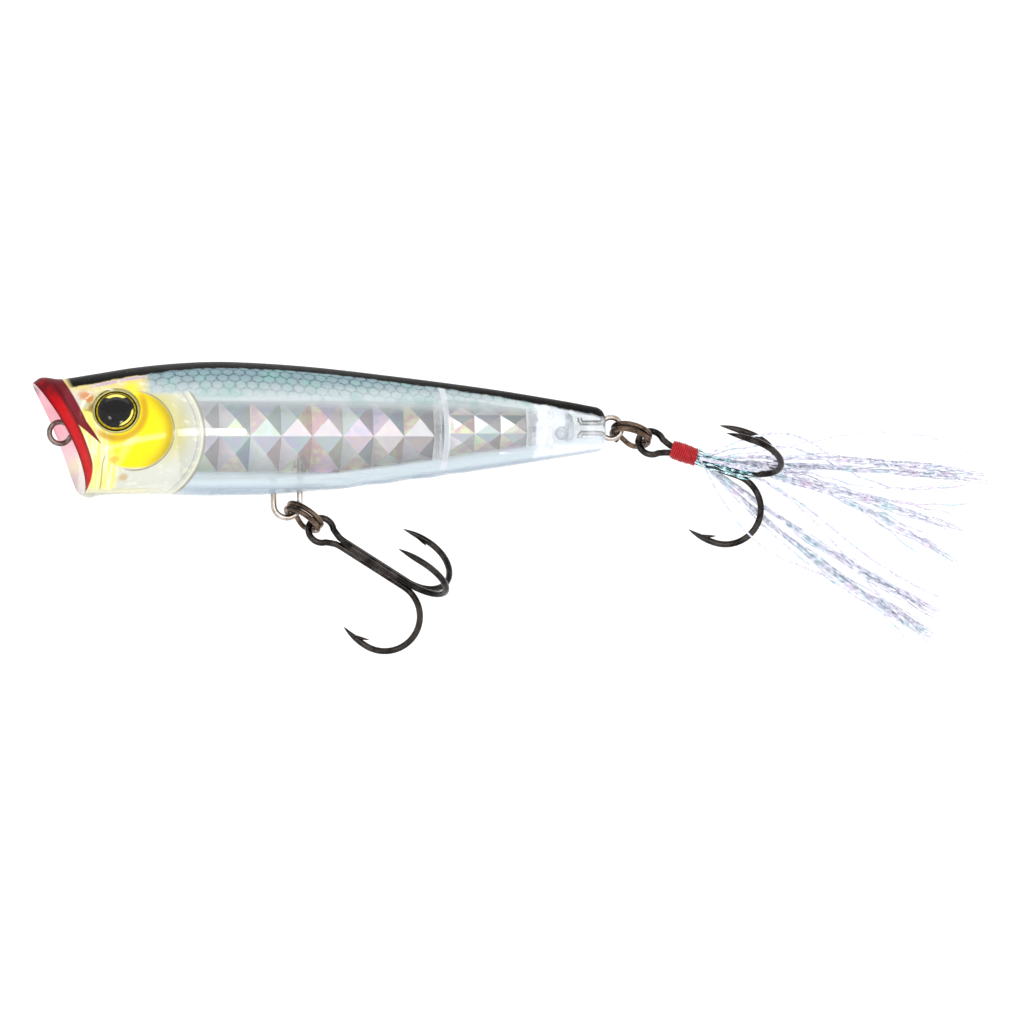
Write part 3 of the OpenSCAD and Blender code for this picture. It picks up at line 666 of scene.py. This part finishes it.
def flank_y(station, height, inset):
    """Half width of the body at a height, by halving the angle."""
    low, high = 0.0, 180.0
    for _ in range(24):
        angle = (low + high) / 2
        if skin(station, angle, inset).z > height:
            low = angle
        else:
            high = angle
    return max(abs(skin(station, low, inset).y), 0)


def prism_panel(name, start, pitch, columns, levels, rise):
    def place(i, k, depth):
        s = start + i * pitch
        below, above = int(k), min(int(k) + 1, len(levels) - 1)
        height = levels[below] + (levels[above] - levels[below]) * (k - below)
        margin = wall + panel_gap + rise
        low = smooth_line(belly_line, s) + margin + (0.9 - 0.4 * k if len(levels) == 4 else -rise + 0.1)
        top = smooth_line(back_line, s) - margin + 0.3
        height = min(max(height, low), top)
        # the section leans with the mouth, so the height is looked up on the skin itself
        return Vector((s, -max(panel_floor, flank_y(s, height, wall + panel_gap + depth)), height)) * MM

    bpy.ops.object.select_all(action="DESELECT")
    bpy.ops.mesh.primitive_grid_add(x_subdivisions=columns, y_subdivisions=len(levels) - 1, size=2)
    panel = bpy.context.object
    panel.name = name
    for v in panel.data.vertices:
        i, k = round((v.co.x + 1) / 2 * columns), round((1 - v.co.y) / 2 * (len(levels) - 1))
        v.co = place(i, k, rise)
    corners = len(panel.data.vertices)
    edit_all(panel, bpy.ops.mesh.poke, offset=0.0)
    for v in panel.data.vertices[corners:]:
        i = (v.co.x / MM - start) / pitch
        rows = [place(i, k + 0.5, 0) for k in range(len(levels) - 1)]
        v.co = min(rows, key=lambda p: abs(p.z - v.co.z))
    edit_all(panel, bpy.ops.mesh.normals_make_consistent, inside=False)
    if sum(f.normal.y for f in panel.data.polygons) > 0:
        edit_all(panel, bpy.ops.mesh.flip_normals)
    plate = panel.modifiers.new("plate", "SOLIDIFY")
    plate.thickness, plate.offset = plate_thickness * MM, -1
    bpy.ops.object.modifier_apply(modifier="plate")
    tones = panel.data.color_attributes.new("facet", "FLOAT_COLOR", "CORNER")
    # Painted light and shade: each facet's colour is picked by the way it faces, with a random tone on top
    for face in panel.data.polygons:
        if abs(face.normal.z) > abs(face.normal.x):
            side = "above" if face.normal.z > 0 else "below"
        else:
            side = "rear" if face.normal.x > 0 else "front"
        tone = [c * dice.uniform(0.86, 1.0) for c in paint(*dice.choice(facet_light_and_shade_tints[side]))[:3]] + [1.0]
        for loop in face.loop_indices:
            tones.data[loop].color = tone
    panel.data.materials.append(prism_paint)
    return panel


panels = [("prism_panel", 16, 4.07, 8, [4.15, -0.45, -5.06, -7.6], 0.75),
          ("tail_prism", 50.4, 3.5, 3, [4.3, 2.3, -0.09, -2.47, -4.8], 0.6)]
for name, *sizes in panels:
    left_panel = prism_panel("left_" + name + "_plate", *sizes)
    right_panel = other_side(left_panel, "right_" + name + "_plate")
    hand_over(left_panel, "root", "prism", "left_" + name)
    hand_over(right_panel, "root", "prism", "right_" + name)


# ---------------------------------------------------------------- Eyes
# A printed plate with a gold ring lies in each socket, and a domed black lens of
# clear-coated resin is glued on it. A round raised rim holds the lens.
eye_stand_mm = eye_stand.copy()
eye_stand_mm.translation = eye_spot


def turned(name, profile, sides, stand):
    """A round piece from (radius, height) points, on a stand; its map is its own face on."""
    bpy.ops.object.select_all(action="DESELECT")
    bpy.ops.mesh.primitive_grid_add(x_subdivisions=len(profile) - 1, y_subdivisions=sides, size=2)
    made = bpy.context.object
    made.name = name
    spots = {}
    for v in made.data.vertices:
        radius, height = profile[round((v.co.x + 1) / 2 * (len(profile) - 1))]
        turn = (v.co.y + 1) * math.pi
        v.co = Vector((radius * math.cos(turn), radius * math.sin(turn), height)) * MM
        spots[v.index] = (v.co.x, v.co.y)
    for loop in made.data.loops:
        made.data.uv_layers.active.data[loop.index].uv = spots[loop.vertex_index]
    made.data.transform(stand)
    edit_all(made, bpy.ops.mesh.remove_doubles, threshold=1e-6)
    edit_all(made, bpy.ops.mesh.normals_make_consistent, inside=False)
    smooth_edges(made)
    return made


plate_paint = material("gold_foil_plate")
_, u, v, _ = position("UV")
at, *_ = position()
out_from = (u ** 2.0 + v ** 2.0) ** 0.5
foil = tint(paint(205, 180, 40), paint(235, 218, 90), noise(at, 2.5, 3))
foil = tint(foil, paint(60, 48, 10), out_from.near(2.72, 0.04, 0.16))
foil = tint(foil, paint(226, 222, 150), out_from.rise(2.76, 2.9))
done(surface(Base_Color=foil, Metallic=out_from.rise(2.9, 2.75, 0.1, 0.9), Coat_Weight=0.8,
             Roughness=noise(at, 6).rise(0.3, 0.7, 0.18, 0.34)))

lens_paint = material("black_lens")
_, u, v, _ = position("UV")
at, *_ = position()
out_from = (u ** 2.0 + v ** 2.0) ** 0.5
iris = out_from.rise(2.36, 2.42)
# The bright gold crescents at the top and lower right are painted reflections of the gold ring in the lens
upper = out_from.near(1.98, 0.16, 0.28) * (v - abs(u + 0.1) * 0.35).rise(1.15, 1.4)
lower = out_from.near(2.1, 0.08, 0.18) * (u * 0.8 - v * 0.6).rise(1.5, 1.8)
brown_top = (v * 0.8 - out_from * 0.2).rise(0.4, 1.3) * noise(at, 0.8).rise(0.3, 0.7)
pupil = tint(paint(3, 3, 3), paint(30, 20, 8), brown_top)
gold = tint(paint(214, 190, 40), paint(150, 124, 24), noise(at, 3.0, 3).rise(0.35, 0.65))
gold = tint(gold, paint(252, 236, 110), upper.most(lower))
gold = tint(gold, paint(60, 46, 8), out_from.rise(2.52, 2.62))
shown = iris.most(upper).most(lower)
done(surface(Base_Color=tint(pupil, gold, shown), Roughness=noise(at, 5).rise(0.3, 0.7, 0.05, 0.08),
             Coat_Weight=0.2, Coat_Roughness=0.02, Specular_IOR_Level=0.2))

plate_rim = [(0, 0.05), (2.5, 0.05), (2.62, 0.1), (2.7, 0.3), (2.78, 0.36), (2.86, 0.36), (2.94, 0.3),
             (3.0, 0.12), (3.04, 0.1), (3.1, 0.1), (3.1, 0.0), (0, 0.0)]
dome_rise, dome_radius, dome_base = 1.15, 2.64, 0.06
dome_shape = [(0.97, 0), (1, 0.06), (1, 0.16), (0.985, 0.27), (0.94, 0.42), (0.87, 0.56), (0.76, 0.71),
              (0.62, 0.84), (0.46, 0.92), (0.3, 0.97), (0.14, 0.995), (0, 1.0)]
dome_profile = [(0, dome_base)] + [(dome_radius * r, dome_base + dome_rise * h) for r, h in dome_shape]
eye_floor = eye_stand @ Matrix.Translation((0, 0, (0.04 - socket_depth) * MM))
left_plate = turned("left_eye_plate", plate_rim, 96, eye_floor)
left_plate.data.materials.append(plate_paint)
left_lens = turned("left_eye_lens", dome_profile, 96, eye_floor)
left_lens.data.materials.append(lens_paint)
for piece, kind, finish, node in [(left_plate, "eye_plate", "eye_foil", "eye_disc"),
                                  (left_lens, "eye_lens", "eye_lens", "eye_dome")]:
    hand_over(piece, "root", finish, "left_" + node)
    hand_over(other_side(piece, "right_" + kind), "root", finish, "right_" + node)


# ---------------------------------------------------------------- Line tie and hangers
# Stainless wire bent to eyes, their legs moulded into the body. The line is tied
# to the one in the mouth, and the split rings hang on the other two.
def wire(name, path, radii, sides=16):
    """A round wire along a path in millimetres, closed at its ends."""
    bpy.ops.object.select_all(action="DESELECT")
    bpy.ops.curve.primitive_bezier_curve_add(location=(0, 0, 0))
    made = bpy.context.object
    made.name = name
    run = made.data
    run.splines.clear()
    run.dimensions, run.twist_mode, run.use_fill_caps = "3D", "MINIMUM", True
    run.bevel_depth, run.bevel_resolution = MM, (sides - 4) // 2
    spline = run.splines.new("POLY")
    spline.points.add(len(path) - 1)
    for point, p, radius in zip(spline.points, path, radii):
        point.co, point.radius = (*(Vector(p) * MM), 1), radius
    bpy.ops.object.convert(target="MESH")
    edit_all(made, bpy.ops.mesh.remove_doubles, threshold=1e-7)
    edit_all(made, bpy.ops.mesh.normals_make_consistent, inside=False)
    smooth_edges(made, 50)
    return made


def softened(points, pieces):
    """Extra points on a smooth curve through the given ones."""
    points = [Vector(p) for p in points]
    out = []
    for i in range(len(points) - 1):
        b, c = points[i], points[i + 1]
        start, end = (c - points[max(i - 1, 0)]) / 2, (points[min(i + 2, len(points) - 1)] - b) / 2
        for k in range(pieces):
            t = k / pieces
            h = 1 - t
            ends = b * (1 + 2 * t) * h * h + c * (3 - 2 * t) * t * t
            out.append(ends + start * t * h * h - end * h * t * t)
    return out + [points[-1]]


def arc(centre, radius, start, end, count):
    turns = [math.radians(start + (end - start) * i / count) for i in range(count + 1)]
    return [(centre[0] + radius * math.cos(a), 0, centre[2] + radius * math.sin(a)) for a in turns]


def metal(name, bright, dull, low, high, scratch=14.0):
    """Drawn or plated wire: patchy tone, and fine scratches in the shine."""
    made = material(name)
    at, *_ = position()
    patch, fine = noise(at, 0.7, 4), noise(at, scratch, 2)
    done(surface(Base_Color=tint(paint(*dull), paint(*bright), patch.rise(0.3, 0.7)), Metallic=1.0,
                 Roughness=(patch * 0.5 + fine * 0.5).rise(0.35, 0.65, low, high),
                 Normal=bump(fine, 0.00001, 0.25)))
    return made


stainless = metal("stainless_wire", (206, 200, 194), (150, 138, 126), 0.16, 0.34)
tie_wire, hanger_wire = 0.35, 0.39
tie_half = [(5.9, 0, 1.9), (5.7, 0, 1.1), (5.2, 0, 0.5), (4.6, 0, 0.37), (3.2, 0, 0.37), (1.8, 0, 0.37)]
tie_path = tie_half + arc((0, 0, 0), 1.41, 24, 336, 40) + [(x, 0, -z) for x, _, z in reversed(tie_half)]
belly_eye = joints["belly_ring_swing"] / MM
belly_radius = 1.72
front_x, rear_x, curl = belly_eye.x - belly_radius, belly_eye.x + belly_radius, 0.8
belly_path = softened([(front_x - 1.5, 0, -5.4), (front_x - 0.5, 0, -5.6), (front_x, 0, -6.3)], 4)
belly_path += arc(belly_eye, belly_radius, 180, 360, 32) + [(rear_x, 0, -7), (rear_x, 0, -5)]
belly_path += arc((rear_x - curl, 0, -3.4), curl, 0, 290, 28)
tail_eye = joints["tail_ring_swing"] / MM
tail_half = [(-4.1, 0, 1.35), (-4.1, 0, 0.95), (-3.85, 0, 0.66), (-1.9, 0, 0.66)]
tail_path = [(tail_eye.x + x, 0, tail_eye.z + z) for x, _, z in tail_half]
tail_path += arc(tail_eye, 1.39, 148, -148, 40)
tail_path += [(tail_eye.x + x, 0, tail_eye.z - z) for x, _, z in reversed(tail_half)]
grey_wire = metal("grey_wire", (142, 128, 122), (92, 80, 76), 0.16, 0.32)
for name, path, radius, finish in [("line_tie", tie_path, tie_wire, grey_wire),
                                   ("belly_hanger", belly_path, hanger_wire, stainless),
                                   ("tail_hanger", tail_path, tie_wire, stainless)]:
    eye = wire(name + "_wire", path, [radius] * len(path), 20)
    eye.data.materials.append(finish)
    hand_over(eye, "root", "steel_wire", name)


# ---------------------------------------------------------------- Tail ball
# A small bright ball moulded in behind the bulkhead to trim the tail down. It
# shows through the clear plastic.
ball = frame["nodes"]["tail_weight"]
ball_paint = material("pearly_ball")
at, *_ = position()
cloud = noise(at, 1.5, 3)
done(surface(Base_Color=tint(paint(250, 250, 252), paint(212, 216, 226), cloud), Coat_Weight=0.8,
             Roughness=cloud.rise(0.3, 0.7, 0.15, 0.3)))
ball.data.materials.clear()
ball.data.materials.append(ball_paint)


# ---------------------------------------------------------------- Split rings
# Hard bronze-coloured wire, flattened and wound almost twice round. One hangs on
# the belly's eye and one on the tail's, and each carries a hook.
def hung(pivot, below, swung=0.0):
    """The frame of a part that hangs from a pivot and points down-tail along its own X."""
    turn = Matrix.Rotation(math.radians(-swung), 4, "Z") @ Matrix.Rotation(math.radians(below), 4, "Y")
    return Matrix.Translation(pivot) @ turn


ring_reach, ring_radius, ring_wire, coil_offset = 0.32, 2.44, 0.35, 0.38
coil, cross_over, coil_start = 300, 60, 120
ring_path = []
for a in range(0, 2 * coil + cross_over + 1, 5):
    lift = -1 if a < coil else 1 if a > coil + cross_over else -math.cos(math.pi * (a - coil) / cross_over)
    turn = math.radians(a + coil_start)
    down_ring, across_ring = ring_reach + ring_radius * (1 + math.cos(turn)), ring_radius * math.sin(turn)
    ring_path.append((down_ring, across_ring, coil_offset * lift))
bronze = metal("bronze_nickel", (120, 98, 82), (58, 48, 42), 0.14, 0.28)
rings = [("belly", "belly_ring_swing", 36, -12), ("tail", "tail_ring_swing", 18.7, -22)]
for name, joint, below, roll in rings:
    ring = wire(name + "_ring_wire", ring_path, [ring_wire] * len(ring_path), 16)
    ring.data.transform(hung(joints[joint], below) @ Matrix.Rotation(math.radians(roll), 4, "X"))
    ring.data.materials.append(bronze)
    hand_over(ring, name + "_ring", "split_ring", name + "_split_ring")


# ---------------------------------------------------------------- Treble hooks
# One wire makes the eye and two prongs, and the third prong is brazed along its
# shank. Points are ground, barbs are raised inside, and all is plated black nickel.
hook_radius, bend_radius, shank_offset = 0.42, 4.6, 0.515
point_length, point_drop = 3.7, 0.55
eye_centre, eye_radius = 0.42, 1.68


def around(x, r, turn):
    """A point at x down the shank and r from its middle; turn 0 is to -Y, 90 is up."""
    return Vector((x, -r * math.cos(math.radians(turn)), r * math.sin(math.radians(turn))))


def prong(shank, turn):
    """The path and radii of one prong, from the shank round the bend to the point."""
    centre = shank_offset + bend_radius
    path = [around(x, shank_offset, turn) for x in (5, 7.5, 10)]
    for a in range(-90, 91, 6):
        bend = math.radians(a)
        path.append(around(shank + bend_radius * math.cos(bend), centre + bend_radius * math.sin(bend), turn))
    radii = [hook_radius] * len(path)
    for f, narrow in [(0.12, 1.0), (0.25, 0.99), (0.4, 0.93), (0.55, 0.8),
                      (0.7, 0.6), (0.85, 0.36), (0.95, 0.17), (1, 0.05)]:
        path.append(around(shank - point_length * f, centre + bend_radius - point_drop * f * f, turn))
        radii.append(hook_radius * narrow)
    return path, radii


def barb(name, shank, turn):
    """A thin spike cut up from the inside of the point, leaning back to the bend."""
    top = shank_offset + 2 * bend_radius
    path = [around(shank - point_length * f, top - d, turn) for f, d in
            [(0.56, 0.22), (0.42, 0.34), (0.26, 0.52), (0.1, 0.74), (0.0, 0.9)]]
    return wire(name, path, [0.16, 0.22, 0.2, 0.12, 0.02], 10)


def joined(name, parts, stand):
    bpy.ops.object.select_all(action="DESELECT")
    for part in parts:
        part.select_set(True)
    bpy.context.view_layer.objects.active = parts[0]
    bpy.ops.object.join()
    parts[0].name = name
    parts[0].data.transform(stand)
    return parts[0]


def in_eye(x, across, third):
    return around(x, 0, 0) + around(0, across, third + 90) + around(0, shank_offset / 2, third + 180)


def double_hook(shank, third):
    path_a, radii_a = prong(shank, third + 120)
    path_b, radii_b = prong(shank, third + 240)
    side = shank_offset * math.sin(math.radians(60))
    neck = [(3.6, side), (3, 0.52), (2.4, 0.74)]
    loop = [(eye_centre + eye_radius * math.cos(math.radians(a)), eye_radius * math.sin(math.radians(a)))
            for a in range(38, 323, 6)]
    middle = [in_eye(x, e, third) for x, e in neck + loop + [(x, -e) for x, e in reversed(neck)]]
    path = path_a[::-1] + middle + path_b
    return wire("pair", path, radii_a[::-1] + [hook_radius] * len(middle) + radii_b, 18)


black_nickel = metal("black_nickel", (66, 61, 58), (28, 26, 25), 0.16, 0.34, 9.0)
hooks = [("belly", "belly_treble_swing", 32.5, 13.4, 19), ("tail", "tail_treble_swing", 18.9, 12.4, 26)]
hook_swung = 5
for name, joint, below, shank, third in hooks:
    stand = hung(joints[joint], below, hook_swung)
    pair = joined(name + "_hook_pair", [double_hook(shank, third)] +
                  [barb("barb", shank, third + turn) for turn in (120, 240)], stand)
    path, radii = prong(shank, third)
    path, radii = [around(3.2, 0.44, third), around(3.9, shank_offset, third)] + path, [0.2, 0.4] + radii
    braze = wire("braze", [(x, 0, 0) for x in (3.4, 4.4, 6, shank - 3, shank - 0.6, shank + 0.5)],
                 [0.15, 0.5, 0.58, 0.58, 0.5, 0.2], 16)
    thirds = [wire("third", path, radii, 18), barb("barb", shank, third), braze]
    single = joined(name + "_hook_single", thirds, stand)
    for piece, node in [(pair, "_treble_double"), (single, "_treble_single")]:
        piece.data.materials.clear()
        piece.data.materials.append(black_nickel)
        hand_over(piece, name + "_treble", "hook", name + node)


# ---------------------------------------------------------------- Thread
# Red thread wound tightly round the tail hook's shank and varnished. It binds the
# tinsel on.
tail_shank_stand = hung(joints["tail_treble_swing"], 18.9, hook_swung)
wrap_start, wrap_length, wrap_turns, thread_radius = 3.1, 3.6, 12, 0.15
dice = random.Random(11)
wrap_path = []
for i in range(wrap_turns * 24 + 1):
    share = i / (wrap_turns * 24)
    swell = 0.09 * math.sin(math.pi * min(share * 1.15, 1)) + 0.03 * math.sin(i * 0.61)
    wrap_path.append(around(wrap_start + 0.12 + (wrap_length - 0.24) * share, 1.03 + swell, i * 15))
under = [(wrap_start + x, 0, 0) for x in (0.05, 0.3, 1.6, 3.3, 3.55)]
turns = wire("turns", wrap_path, [thread_radius] * len(wrap_path), 8)
core = wire("under", under, [0.96, 1.04, 1.12, 1.04, 0.96], 32)
thread = joined("thread_binding", [turns, core], tail_shank_stand)
thread_paint = material("varnished_red_thread")
at, *_ = position()
fibre, worn = noise(at, 7.0, 3), noise(at, 0.8)
red = tint(paint(124, 0, 10), paint(188, 6, 20), fibre.rise(0.3, 0.65))
red = tint(red, paint(222, 30, 52), worn.rise(0.55, 0.8) * 0.4)
done(surface(Base_Color=red, Roughness=fibre.rise(0.3, 0.7, 0.35, 0.55), Coat_Weight=0.25,
             Coat_Roughness=0.15, Specular_IOR_Level=0.3, Normal=bump(fibre, 0.00003, 0.6)))
thread.data.materials.clear()
thread.data.materials.append(thread_paint)
hand_over(thread, "tail_treble", "thread", "thread_wrap")


# ---------------------------------------------------------------- Tinsel
# Crinkled strips of thin pearly film, bound under the thread. They lie in loose
# locks that part towards their tips; single strips stray, and flash lies on the shank.
film_paint = material("pearl_film")
at, *_ = position()
glint, shade = noise(at, 1.9, 2), noise(at, 0.45)
pearl = tint(paint(206, 207, 226), paint(236, 236, 246), glint.rise(0.35, 0.6))
pearl = tint(pearl, paint(186, 216, 224), shade.rise(0.52, 0.68) * 0.6)
pearl = tint(pearl, paint(222, 200, 226), shade.rise(0.44, 0.32) * 0.6)
done(surface(Base_Color=pearl, Metallic=0.12, Roughness=glint.rise(0.3, 0.7, 0.32, 0.5), Coat_Weight=0.2))
flash_paint = material("blue_green_flash")
at, *_ = position()
glint = noise(at, 2.4, 3)
flash = tint(paint(110, 172, 178), paint(206, 226, 232), glint.rise(0.4, 0.6))
done(surface(Base_Color=tint(flash, paint(206, 178, 226), glint.rise(0.66, 0.74)), Metallic=0.6,
             Roughness=glint.rise(0.3, 0.7, 0.15, 0.35), Coat_Weight=0.4))


def strips(name, routes, width, twist_pitch, stand):
    """Thin flat strips, one along each route in millimetres, turning about their own length."""
    bpy.ops.object.select_all(action="DESELECT")
    bpy.ops.curve.primitive_bezier_curve_add(location=(0, 0, 0))
    made = bpy.context.object
    made.name = name
    run = made.data
    run.splines.clear()
    run.dimensions, run.twist_mode, run.use_fill_caps = "3D", "MINIMUM", True
    run.extrude, run.bevel_depth, run.bevel_resolution = width * MM, 0.02 * MM, 0
    for route in routes:
        spline = run.splines.new("POLY")
        spline.points.add(len(route) - 1)
        turn, pitch = dice.uniform(0, 6.28), twist_pitch * dice.uniform(0.7, 1.4)
        slim = dice.uniform(0.7, 1.2)
        for i, p in enumerate(route):
            point = spline.points[i]
            if i:
                turn += (p - route[i - 1]).length / pitch * 2 * math.pi
            point.co, point.tilt = (*(p * MM), 1), turn
            point.radius = slim * (1 if i < len(route) - 4 else 0.7)
    bpy.ops.object.convert(target="MESH")
    edit_all(made, bpy.ops.mesh.normals_make_consistent, inside=False)
    made.data.transform(stand)
    return made


def lock(route, count, spread, steps_per):
    """Routes of the strips in one lock: wound about its middle, and parting at the tip."""
    middle_line = softened(route, steps_per)
    out = []
    for _ in range(count):
        turn, wind = dice.uniform(0, 360), dice.uniform(-1.2, 1.2) * 360
        far, size = dice.uniform(0.86, 1.0), dice.uniform(0.25, 1.0)
        wave, phase = dice.uniform(0.1, 0.3), dice.uniform(0, 6.28)
        last = int((len(middle_line) - 1) * far)
        strip = []
        for i in range(last + 1):
            f = i / (len(middle_line) - 1)
            away_by = size * (0.16 + spread * f ** 1.6)
            a = turn + wind * f + 25 * math.sin(phase + f * 9)
            ripple = wave * math.sin(phase + f * 24) * min(f * 3, 1)
            strip.append(middle_line[i] + around(0, away_by + ripple, a))
        out.append(strip)
    return out


def stray(route, steps_per=14):
    """One loose strip with a little crinkle along a smooth route."""
    phase = dice.uniform(0, 6.28)
    path = softened(route, steps_per)
    return [p + around(0, 0.1 * math.sin(phase + i * 0.5), 90) for i, p in enumerate(path)]


trail_start, trail_parts = 7, 8


def trail(reach, rise, side=0.0, bow=0.0, sway=0.0):
    """A route from the thread to a tip so far on and so far up, bowed and swayed on its way."""
    route = []
    for i in range(trail_parts + 1):
        f = i / trail_parts
        height = rise * f + bow * math.sin(math.pi * f) + sway * math.sin(2 * math.pi * f)
        route.append((trail_start + reach * f, side * (1 - f / 2), height))
    return route


# Each route is given as its reach, rise, side, bow and sway
locks = {"tinsel_upper": [(36, 10, -0.5, 1, 0), (38, 10, 0.5, 0, 0)],
         "tinsel_middle": [(36, 2, -1.5, 1, 0), (37, -2, -1.5, 2, 0)],
         "tinsel_lower_near": [(37, -9, 1, -1, 0)],
         "tinsel_lower_far": [(37, -12, 1.5, -1.5, 0)]}
strays = {"tinsel_upper": [(18, 5, -1, 4, 0), (34, 12, -0.5, 3, -1), (38, 7, 0, -1, 1)],
          "tinsel_middle": [(33, 8, -1, -1, 1), (34, 8, 0.5, 1, 2),
                            (32, -3, -0.5, 3, 0), (35, 4, -0.5, 0, 0)],
          "tinsel_lower_near": [(36, -13, 0, 3, 1), (36, -7, -0.5, 1, 1)],
          "tinsel_lower_far": [(34, -14, -1, -2, -2), (34, -12, 1.5, -2, 0)]}
short_lock = trail(15, 2.5)
for name, routes in locks.items():
    hair = lock(short_lock, 12, 1.2, 6) if name in ("tinsel_upper", "tinsel_middle") else []
    for route in routes:
        hair += lock(trail(*route), 22 // len(routes), 0.55, 8)
        hair += lock(trail(*route), 6 // len(routes), 1.3, 8)
    hair += [stray(trail(*route)) for route in strays[name] for _ in range(2)]
    tinsel = strips(name + "_strips", hair, 0.11, 2.6, tail_shank_stand)
    tinsel.data.materials.append(film_paint)
    if name == "tinsel_middle":
        flash = []
        for k in range(5):
            start, middle_point = (6.5, -1.0, 0.4 * k - 0.7), (10, -1.2, 0.4 * k - 0.8)
            flash.append(stray([start, middle_point, (14 + k * 0.5, -1.1, 0.3 * k - 0.5)], 10))
        glitter = strips("flash_strips", flash, 0.16, 3.0, tail_shank_stand)
        glitter.data.materials.append(flash_paint)
        joined(tinsel.name, [tinsel, glitter], Matrix.Identity(4))
    hand_over(tinsel, "tail_treble", "tinsel", name)
